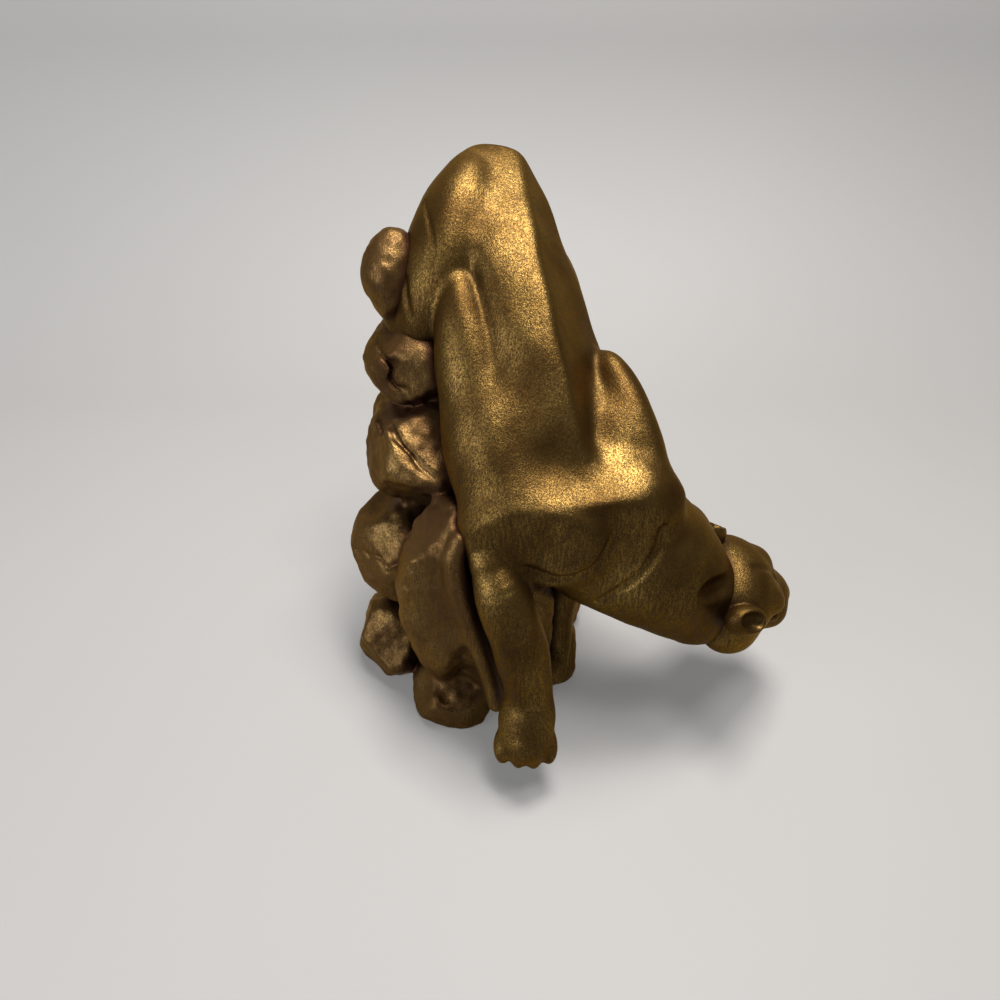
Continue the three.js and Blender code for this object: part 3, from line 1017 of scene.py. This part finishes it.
@dataclass
class Boulders:
    """The stack of boulders that the cougar comes down."""

    low: Triple = (-32, -30, -4)
    high: Triple = (42, 44, 92)
    cell: float = 0.36
    most: int = 195000
    rough: float = 0.4
    levels: int = 5
    around: int = 4
    spread: float = 0.95
    first_turn: float = -0.35
    lowest: float = 6
    level_high: float = 14
    level_wide: float = 15
    level_narrows: float = 1.6
    flatter: float = 2
    stack_middle: tuple[float, float] = (2, 14)
    stone: Triple = (8.5, 8, 8.6)
    size_varies: float = 0.24
    height_varies: float = 3

    def fold(self) -> Form:
        """Makes the fold of the rock that runs down beside the right foreleg.

        Returns:
            The form.
        """
        return limb(
            [
                (-0.5, -17, 49, 1.6),
                (-1.5, -18.4, 45.7, 1.8),
                (0.8, -19.6, 32, 1.8),
                (4, -20.4, 19, 1.8),
                (5.4, -20.6, 10, 1.8),
            ]
        )

    def seen(self) -> list[Form]:
        """Makes the boulders at the cougar's right side, which show in front.

        Returns:
            Each boulder's form.
        """
        return [
            boulder((-12, 16, 80), (5.2, 7, 7.6), 0, 3, 1.2),
            boulder((-8, 12, 66.5), (10, 10.4, 7.9), 1, 9, 0.82),
            boulder((-7, 6, 51), (12.3, 12.8, 10), 2.6, 9, 0.82),
            boulder((-11.5, 3, 30), (11.8, 12, 12.5), 3),
            boulder((-15, 1, 6), (10, 11.4, 11.4), 6, 13, 0.82),
            boulder((-3.5, -13, 3), (8.5, 8.3, 8.4), 5, 9, 0.82),
            boulder((-3, -11, 29.5), (9.9, 9.3, 23), 3.4, 8, 0.84),
            boulder((7, -11, 22), (9.5, 8.4, 22), 1.5, 5, 0.95),
            boulder((14.5, -3, 4), (8.5, 8.5, 11), 7),
        ]

    def cracks(self) -> list[tuple[list[Triple], float, float]]:
        """Gives the joints between the boulders that show.

        Returns:
            The places, half width and depth of each.
        """
        return [
            ([(-13.6, -7, 14), (-12, -11, 13), (-8, -16, 13), (-4.4, -18.6, 8)], 0.8, 0.9),
            ([(-10, -8, 43), (-11, -12, 33), (-9.5, -15, 22), (-7, -17, 14)], 1.2, 0.7),
        ]

    def behind(self) -> list[Form]:
        """Makes the boulders stacked round the back.

        Returns:
            Each boulder's form.
        """
        stack = []
        for level in range(self.levels):
            for i in range(self.around):
                turn = (i + (level % 2) / 2 + self.first_turn) * self.spread
                grow = 1 + self.size_varies * math.sin(7 * level + 4 * i)
                wide = self.level_wide - self.level_narrows * level
                lift = self.height_varies * math.sin(5 * level + 2 * i) if level else 0
                x = self.stack_middle[0] + wide * math.cos(turn)
                y = self.stack_middle[1] + (wide - self.flatter) * math.sin(turn)
                z = self.lowest + self.level_high * level + lift
                radii = tuple(half * grow for half in self.stone)
                stack.append(boulder((x, y, z), radii, level + 2 * i))
        return stack

    def fissures(self) -> list[tuple[Triple, Triple, float, float, float]]:
        """Gives the wandering cracks.

        Returns:
            The middle, the way across, the length, half width and depth of each.
        """
        return [
            ((-12, 0.5, 57), (0.747, 0.466, 0.473), 8, 0.5, 1.1),
            ((-12.4, 4.7, 68.4), (0.868, 0.348, 0.354), 6, 0.5, 0.9),
            ((-14, -5, 33), (0.2, 0.5, 0.8), 7, 0.6, 0.7),
            ((-2, 30, 40), (0.3, 0.2, 0.9), 12, 0.7, 1.0),
            ((14, 26, 58), (0.1, 0.5, 0.8), 10, 0.7, 1.0),
            ((18, 12, 20), (0.8, -0.4, 0.4), 10, 0.7, 1.0),
        ]

    def form(self) -> Form:
        """Joins the boulders round a solid heart, and cuts them flat underneath.

        Returns:
            The form.
        """
        heart = limb([(3, 14, 4, 11), (2, 15, 40, 12), (1, 16, 66, 9)])
        belly = limb([(4, 1, 4, 9), (3, 3, 26, 9), (3, 6, 44, 8)])
        stones = blend(Edge.STONE, heart, belly, *self.seen(), *self.behind())
        for line in self.cracks():
            stones = crease(stones, *line)
        for crack in self.fissures():
            stones = fissure(stones, *crack)
        stones = uneven(stones, ripple(size=8, height=0.3, seed=11))
        stones = uneven(stones, ripple(size=3.0, height=0.1, seed=12))
        underside = flat((0, 0, 0), (0, 0, -1))
        return cut(Edge.BASE, blend(Edge.SWELL, stones, self.fold()), underside)


@dataclass(frozen=True)
class Noise:
    """A pattern of noise: its stretch along x, y and z, and its size, detail and roughness."""

    stretch: Triple
    size: float
    detail: float
    rough: float


@dataclass(frozen=True)
class Span:
    """A range of values, and what its two ends become."""

    low: float
    high: float
    to_low: float = 0.0
    to_high: float = 1.0


class Board:
    """Puts nodes into a material and links them."""

    def __init__(self, tree: bpy.types.NodeTree) -> None:
        """Keeps the material's nodes and links, and the place on the piece that its patterns read."""
        self.nodes, self.links = tree.nodes, tree.links
        self.place = self.nodes.new("ShaderNodeTexCoord").outputs["Object"]

    def give(self, socket: Socket, value: Given) -> None:
        """Gives an input what it is to have.

        Args:
            socket: The input.
            value: Another node's output, a colour or a number.
        """
        if isinstance(value, Socket):
            self.links.new(value, socket)
        elif isinstance(value, tuple):
            socket.default_value = (*value, 1)
        else:
            socket.default_value = value

    def noise(self, pattern: Noise) -> Socket:
        """Adds a pattern of noise.

        Args:
            pattern: Its stretch and looks.

        Returns:
            Its output.
        """
        mapping = self.nodes.new("ShaderNodeMapping")
        mapping.inputs["Scale"].default_value = pattern.stretch
        texture = self.nodes.new("ShaderNodeTexNoise")
        self.give(mapping.inputs["Vector"], self.place)
        self.give(texture.inputs["Vector"], mapping.outputs[0])
        self.give(texture.inputs["Scale"], pattern.size)
        self.give(texture.inputs["Detail"], pattern.detail)
        self.give(texture.inputs["Roughness"], pattern.rough)
        return texture.outputs["Fac"]

    def ramp(self, value: Socket, span: Span) -> Socket:
        """Maps a value from one range to another.

        Args:
            value: The value.
            span: The two ranges.

        Returns:
            Its output.
        """
        node = self.nodes.new("ShaderNodeMapRange")
        self.give(node.inputs["Value"], value)
        self.give(node.inputs["From Min"], span.low)
        self.give(node.inputs["From Max"], span.high)
        self.give(node.inputs["To Min"], span.to_low)
        self.give(node.inputs["To Max"], span.to_high)
        return node.outputs[0]

    def maths(self, kind: str, a: Socket, b: Given) -> Socket:
        """Reckons with two values.

        Args:
            kind: What is done with them.
            a: The first value.
            b: The second.

        Returns:
            Its output.
        """
        node = self.nodes.new("ShaderNodeMath")
        node.operation = kind
        self.give(node.inputs[0], a)
        self.give(node.inputs[1], b)
        return node.outputs[0]

    def mix(self, factor: Socket, a: Given, b: Given) -> Socket:
        """Mixes two colours.

        Args:
            factor: How much there is of the second.
            a: The first colour.
            b: The second.

        Returns:
            Its output.
        """
        node = self.nodes.new("ShaderNodeMix")
        node.data_type = "RGBA"
        self.give(node.inputs["Factor"], factor)
        self.give(node.inputs[6], a)
        self.give(node.inputs[7], b)
        return node.outputs[2]


@dataclass(frozen=True)
class OldGold:
    """The gold paint, worn and dulled over a brown ground."""

    name: str = "old_gold"
    ground: Triple = (0.014, 0.006, 0.002)
    dull: Triple = (0.085, 0.043, 0.009)
    bright: Triple = (0.280, 0.178, 0.052)
    sheen: Triple = (0.85, 0.60, 0.29)
    specular: float = 0.3
    covering: float = 1.0
    streaks: Noise = Noise((1, 1, 0.10), 900, 3, 0.6)
    stipple: Noise = Noise((1, 1, 0.55), 1440, 2, 0.7)
    clouds: Noise = Noise((1, 1, 0.5), 38, 4, 0.55)
    # Less gold in closed places: patina, and painted shade where the creases would be shaded.
    patina_and_shade_in_hollows: Span = Span(0.25, 0.8)
    in_clouds: Span = Span(0.2, 0.75, 0.5, 1.0)
    in_specks: Span = Span(0.40, 0.56, 0.20, 1.0)
    in_streaks: Span = Span(0.38, 0.60, 0.35, 1.0)
    brightness: Span = Span(0.28, 0.82)
    metal: Span = Span(0.0, 0.5, 0.55, 1.0)
    roughness: Span = Span(0.7, 1.3, 0.49, 0.36)
    streak_relief: float = 0.6
    stipple_relief: float = 0.8
    relief: float = 0.5
    relief_deep: float = 0.0005

    def cover(self, board: Board, streaks: Socket, stipple: Socket, clouds: Socket) -> Socket:
        """Finds how much gold shows over the ground: less in hollows, which is patina and also painted shade
        in the creases, and less between streaks and between specks.

        Args:
            board: The material's nodes.
            streaks: The brush streaks.
            stipple: The specks.
            clouds: The worn patches.

        Returns:
            Its share, from 0 to 1.
        """
        hollow = board.nodes.new("ShaderNodeAttribute")
        hollow.attribute_name = PATINA_AND_SHADE_OPENNESS
        # Hollows lose gold to the dark ground: patina, and painted shade in the creases.
        left = board.ramp(hollow.outputs["Fac"], replace(self.patina_and_shade_in_hollows, to_high=self.covering))
        worn = board.maths("MULTIPLY", left, board.ramp(clouds, self.in_clouds))
        specks = board.ramp(stipple, self.in_specks)
        brushed = board.maths("MULTIPLY", specks, board.ramp(streaks, self.in_streaks))
        return board.maths("MULTIPLY", worn, brushed)

    def make(self) -> bpy.types.Material:
        """Builds the material.

        Returns:
            It, with colour, roughness and relief from its nodes.
        """
        material = bpy.data.materials.new(self.name)
        material.use_nodes = True
        material.node_tree.nodes.clear()
        board = Board(material.node_tree)
        out = board.nodes.new("ShaderNodeOutputMaterial")
        shader = board.nodes.new("ShaderNodeBsdfPrincipled")
        bump = board.nodes.new("ShaderNodeBump")
        streaks, stipple, clouds = (board.noise(n) for n in (self.streaks, self.stipple, self.clouds))
        cover = self.cover(board, streaks, stipple, clouds)
        gold = board.mix(board.ramp(clouds, self.brightness), self.dull, self.bright)
        mottle = board.maths("ADD", stipple, clouds)
        deep_streaks = board.maths("MULTIPLY", streaks, self.streak_relief)
        deep_specks = board.maths("MULTIPLY", stipple, self.stipple_relief)
        board.give(bump.inputs["Strength"], self.relief)
        board.give(bump.inputs["Distance"], self.relief_deep)
        board.give(bump.inputs["Height"], board.maths("ADD", deep_streaks, deep_specks))
        board.give(shader.inputs["Specular IOR Level"], self.specular)
        board.give(shader.inputs["Specular Tint"], self.sheen)
        board.give(shader.inputs["Base Color"], board.mix(cover, self.ground, gold))
        board.give(shader.inputs["Metallic"], board.ramp(cover, self.metal))
        board.give(shader.inputs["Roughness"], board.ramp(mottle, self.roughness))
        board.give(shader.inputs["Normal"], bump.outputs[0])
        board.give(out.inputs[0], shader.outputs[0])
        return material


FUR_GOLD = OldGold()
# The boulders' gold has a redder ground and thinner gold; its lighter dull and bright tones are also painted
# light for their left-facing sides.
ROCK_GOLD_WITH_PAINTED_LIGHT = OldGold(
    name="old_gold_on_rock_with_painted_light",
    ground=(0.034, 0.014, 0.007),
    dull=(0.110, 0.062, 0.018),
    bright=(0.290, 0.190, 0.063),
    covering=0.85,
)


@dataclass(frozen=True)
class Grain:
    """The fine unevenness that the casting and the brush leave all over the skin."""

    height: float = 0.0009
    size: float = 210.0
    seed: float = 4.0
    detail: float = 3.0
    low: float = 0.2
    high: float = 0.8

    def tree(self) -> tuple[bpy.types.NodeTree, dict[str, str]]:
        """Builds the node tree that lifts each point of a skin by a noise, along its normal.

        Returns:
            The tree, and the identifier of each of its named inputs.
        """
        tree = bpy.data.node_groups.new("skin_grain", "GeometryNodeTree")
        face = tree.interface
        face.new_socket("Geometry", in_out="OUTPUT", socket_type="NodeSocketGeometry")
        kinds = {
            "Geometry": "Geometry",
            "Height": "Float",
            "Size": "Float",
            "Seed": "Float",
            "Finish": "Material",
        }
        inputs = {
            name: face.new_socket(name, in_out="INPUT", socket_type="NodeSocket" + kind).identifier
            for name, kind in kinds.items()
        }
        nodes, links = tree.nodes, tree.links
        given, out = nodes.new("NodeGroupInput"), nodes.new("NodeGroupOutput")
        noise = nodes.new("ShaderNodeTexNoise")
        noise.noise_dimensions = "4D"
        noise.inputs["Detail"].default_value = self.detail
        lift = nodes.new("ShaderNodeMapRange")
        lift.inputs["From Min"].default_value = self.low
        lift.inputs["From Max"].default_value = self.high
        half, low = nodes.new("ShaderNodeMath"), nodes.new("ShaderNodeMath")
        half.operation = low.operation = "MULTIPLY"
        half.inputs[1].default_value = 0.5
        low.inputs[1].default_value = -0.5
        along = nodes.new("ShaderNodeVectorMath")
        along.operation = "SCALE"
        move = nodes.new("GeometryNodeSetPosition")
        real = nodes.new("GeometryNodeRealizeInstances")
        dress = nodes.new("GeometryNodeSetMaterial")
        links.new(given.outputs["Size"], noise.inputs["Scale"])
        links.new(given.outputs["Seed"], noise.inputs["W"])
        links.new(given.outputs["Height"], half.inputs[0])
        links.new(given.outputs["Height"], low.inputs[0])
        links.new(noise.outputs["Fac"], lift.inputs["Value"])
        links.new(low.outputs[0], lift.inputs["To Min"])
        links.new(half.outputs[0], lift.inputs["To Max"])
        links.new(nodes.new("GeometryNodeInputNormal").outputs[0], along.inputs[0])
        links.new(lift.outputs[0], along.inputs["Scale"])
        links.new(given.outputs["Geometry"], move.inputs["Geometry"])
        links.new(along.outputs[0], move.inputs["Offset"])
        links.new(move.outputs[0], real.inputs[0])
        links.new(real.outputs[0], dress.inputs["Geometry"])
        links.new(given.outputs["Finish"], dress.inputs["Material"])
        links.new(dress.outputs[0], out.inputs[0])
        return tree, inputs

    def put_on(self, draft: bpy.types.Object, share: float, finish: bpy.types.Material) -> None:
        """Adds the grain to a draft.

        Args:
            draft: The draft of a piece.
            share: How strong the grain is on it, as a share of its full height.
            finish: The piece's material.
        """
        tree, inputs = self.tree()
        modifier = draft.modifiers.new("grain", "NODES")
        modifier.node_group = tree
        values = {"Height": self.height * share, "Size": self.size, "Seed": self.seed, "Finish": finish}
        for name, value in values.items():
            modifier[inputs[name]] = value


class Caster:
    """Makes the pieces of the statue from their forms and dresses them."""

    QUICK_CELLS = 2

    FEELERS = ((0.8, 0.35), (2.2, 0.4), (5.0, 0.25))
    """How far off the surface its openness is felt, in shares, and how much each counts."""

    DEEPEST = 1.4
    """The most that a feeler counts a hollow."""

    def __init__(self, whole: Form, grain: Grain) -> None:
        """Keeps the whole statue's form, for its hollows, and its grain."""
        self.whole = whole
        self.grain = grain

    def piece(self, name: str, part: Part, gold: bpy.types.Material) -> bpy.types.Object:
        """Makes one piece.

        Args:
            name: Its name.
            part: The part of the statue that it is.
            gold: Its paint.

        Returns:
            The finished piece.
        """
        net = Net(part.form(), part.low, part.high, part.cell * (1))
        points, faces = net.build()
        mesh = bpy.data.meshes.new(name + "_net")
        mesh.from_pydata((points * SHARE).tolist(), [], faces.tolist())
        mesh.validate()
        draft = bpy.data.objects.new(name + "_draft", mesh)
        bpy.context.scene.collection.objects.link(draft)
        thin = draft.modifiers.new("thin", "DECIMATE")
        thin.ratio = min(1.0, part.most / (2 * len(faces)))
        self.grain.put_on(draft, part.rough, gold)
        made = self.settled(draft, name)
        made.shade_smooth()
        self.mark_patina_and_shade(made)
        piece = bpy.data.objects.new(name, made)
        bpy.context.scene.collection.objects.link(piece)
        bpy.data.objects.remove(draft)
        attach(piece, "root")
        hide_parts("cougar_on_rocks")
        counts = len(made.vertices), len(made.polygons), len(faces)
        log.info("%s: %d points, %d faces from a net of %d", name, *counts)
        return piece

    @staticmethod
    def settled(draft: bpy.types.Object, name: str) -> bpy.types.Mesh:
        """Applies the draft's modifiers.

        Args:
            draft: The draft of the piece.
            name: The name for its mesh.

        Returns:
            The finished mesh.
        """
        graph = bpy.context.evaluated_depsgraph_get()
        mesh = bpy.data.meshes.new_from_object(draft.evaluated_get(graph), depsgraph=graph)
        mesh.name = name
        return mesh

    def mark_patina_and_shade(self, mesh: bpy.types.Mesh) -> None:
        """Writes how open the surface is at each point, for the paint's patina and painted shade in hollows:
        0 deep in a hollow and 1 on a swell.

        Args:
            mesh: The piece's mesh.
        """
        count = len(mesh.vertices)
        place = np.empty(count * 3, np.float32)
        way = np.empty(count * 3, np.float32)
        mesh.vertices.foreach_get("co", place)
        mesh.vertex_normals.foreach_get("vector", way)
        place, way = place.reshape(-1, 3) / SHARE, way.reshape(-1, 3)
        open_ = np.ones(count, np.float32)
        for reach, share in self.FEELERS:
            rise = measure(self.whole, place + way * reach) / reach
            open_ -= share * np.clip(1 - rise, 0, self.DEEPEST)
        attribute = mesh.attributes.new(PATINA_AND_SHADE_OPENNESS, "FLOAT", "POINT")
        attribute.data.foreach_set("value", np.clip(open_, 0, 1))


@dataclass(frozen=True)
class FloorPaper:
    """The pale, faintly uneven paper of the floor, which glows a little: painted fill light that lightens
    the shadows cast on it.
    """

    name: str = "floor_paper"
    darker: Triple = (0.165, 0.161, 0.161)
    lighter: Triple = (0.180, 0.176, 0.174)
    roughness: float = 0.7
    painted_fill_colour: Triple = (1.0, 0.985, 0.96)
    painted_fill_strength: float = 0.13
    patches: float = 3.0

    def make(self) -> bpy.types.Material:
        """Builds the material.

        Returns:
            It, with its colour from its nodes.
        """
        material = bpy.data.materials.new(self.name)
        material.use_nodes = True
        board = Board(material.node_tree)
        shader = board.nodes["Principled BSDF"]
        noise = board.nodes.new("ShaderNodeTexNoise")
        board.give(noise.inputs["Vector"], board.place)
        board.give(noise.inputs["Scale"], self.patches)
        board.give(shader.inputs["Base Color"], board.mix(noise.outputs["Fac"], self.darker, self.lighter))
        board.give(shader.inputs["Roughness"], self.roughness)
        # The floor's glow is painted fill light, not a lamp: it lightens the cast shadows on the floor.
        board.give(shader.inputs["Emission Color"], self.painted_fill_colour)
        board.give(shader.inputs["Emission Strength"], self.painted_fill_strength)
        return material


@dataclass(frozen=True)
class Lamp:
    """A soft square lamp: where it hangs and points, its side, its power in watts and its colour."""

    name: str
    at: Triple
    aim: Triple
    side: float
    watts: float
    colour: Triple

    def hang(self) -> None:
        """Puts the lamp in the scene."""
        light = bpy.data.lights.new(self.name, "AREA")
        light.size = self.side
        light.energy = self.watts
        light.color = self.colour
        lamp = bpy.data.objects.new(self.name, light)
        x, y, z = np.subtract(self.aim, self.at)
        lamp.location = self.at
        lamp.rotation_euler = (math.atan2(math.hypot(x, y), -z), 0, math.atan2(-x, y))
        bpy.context.scene.collection.objects.link(lamp)


@dataclass
class Studio:
    """The plain pale floor, the soft light and the camera."""

    eye: Triple = (0.0204, -0.3571, 0.4459)
    pitch: float = 50.0
    lens: float = 27.04
    sensor: float = 36.0
    floor_front: float = -2.5
    floor_back: float = 0.34
    cove: float = 0.30
    cove_steps: int = 24
    wall_top: float = 2.5
    half_width: float = 3.0
    room_light: Triple = (0.93, 0.95, 1.0)
    room_strength: float = 0.20
    lamps: tuple[Lamp, ...] = (
        Lamp("overhead", (0.14, 0.13, 1.40), (0.03, 0.0, 0.1), 0.40, 35, (1.0, 0.975, 0.93)),
        Lamp("front", (0.32, -0.25, 1.42), (0.03, 0.0, 0.2), 0.30, 13, (1.0, 0.97, 0.92)),
        Lamp("window", (-1.05, -0.70, 0.60), (0.0, 0.0, 0.15), 0.9, 15, (0.93, 0.96, 1.0)),
    )

    def floor(self) -> None:
        """Makes the floor, which sweeps up behind into a wall."""
        line = [(self.floor_front, 0.0), (self.floor_back, 0.0)]
        for i in range(1, self.cove_steps + 1):
            turn = i / self.cove_steps * math.pi / 2
            line.append((self.floor_back + self.cove * math.sin(turn), self.cove * (1 - math.cos(turn))))
        line.append((self.floor_back + self.cove, self.wall_top))
        points = [(x, y, z) for x in (-self.half_width, self.half_width) for y, z in line]
        count = len(line)
        faces = [(i, i + count, i + count + 1, i + 1) for i in range(count - 1)]
        mesh = bpy.data.meshes.new("floor")
        mesh.from_pydata(points, [], faces)
        mesh.shade_smooth()
        mesh.materials.append(FloorPaper().make())
        floor = bpy.data.objects.new("floor", mesh)
        bpy.context.scene.collection.objects.link(floor)

    def light(self) -> None:
        """Hangs the lamps, lights the room and sets how the picture's tones are shown."""
        for lamp in self.lamps:
            lamp.hang()
        world = bpy.data.worlds.new("room")
        world.use_nodes = True
        background = world.node_tree.nodes["Background"]
        background.inputs["Color"].default_value = (*self.room_light, 1)
        background.inputs["Strength"].default_value = self.room_strength
        bpy.context.scene.world = world
        bpy.context.scene.view_settings.view_transform = "Standard"

    def camera(self) -> None:
        """Sets up the camera."""
        camera = bpy.data.cameras.new("camera")
        camera.sensor_width = self.sensor
        camera.lens = self.lens
        view = bpy.data.objects.new("camera", camera)
        view.location = self.eye
        view.rotation_euler = (math.radians(self.pitch), 0, 0)
        bpy.context.scene.collection.objects.link(view)
        bpy.context.scene.camera = view

    def build(self) -> None:
        """Makes the floor, the light and the camera."""
        self.floor()
        self.light()
        self.camera()


def main() -> None:
    """Builds the statue and its studio."""
    logging.basicConfig(level=logging.INFO, format="%(message)s")
    body, head, boulders = CougarBody(), CougarHead(), Boulders()
    whole = blend(Edge.FOLD, body.form(), head.form(), boulders.form())
    fur, rock = FUR_GOLD.make(), ROCK_GOLD_WITH_PAINTED_LIGHT.make()
    caster = Caster(whole, Grain())
    caster.piece("cougar_body", body, fur)
    caster.piece("cougar_head", head, fur)
    caster.piece("boulders", boulders, rock)
    Studio().build()


if __name__ == "__main__":
    main()
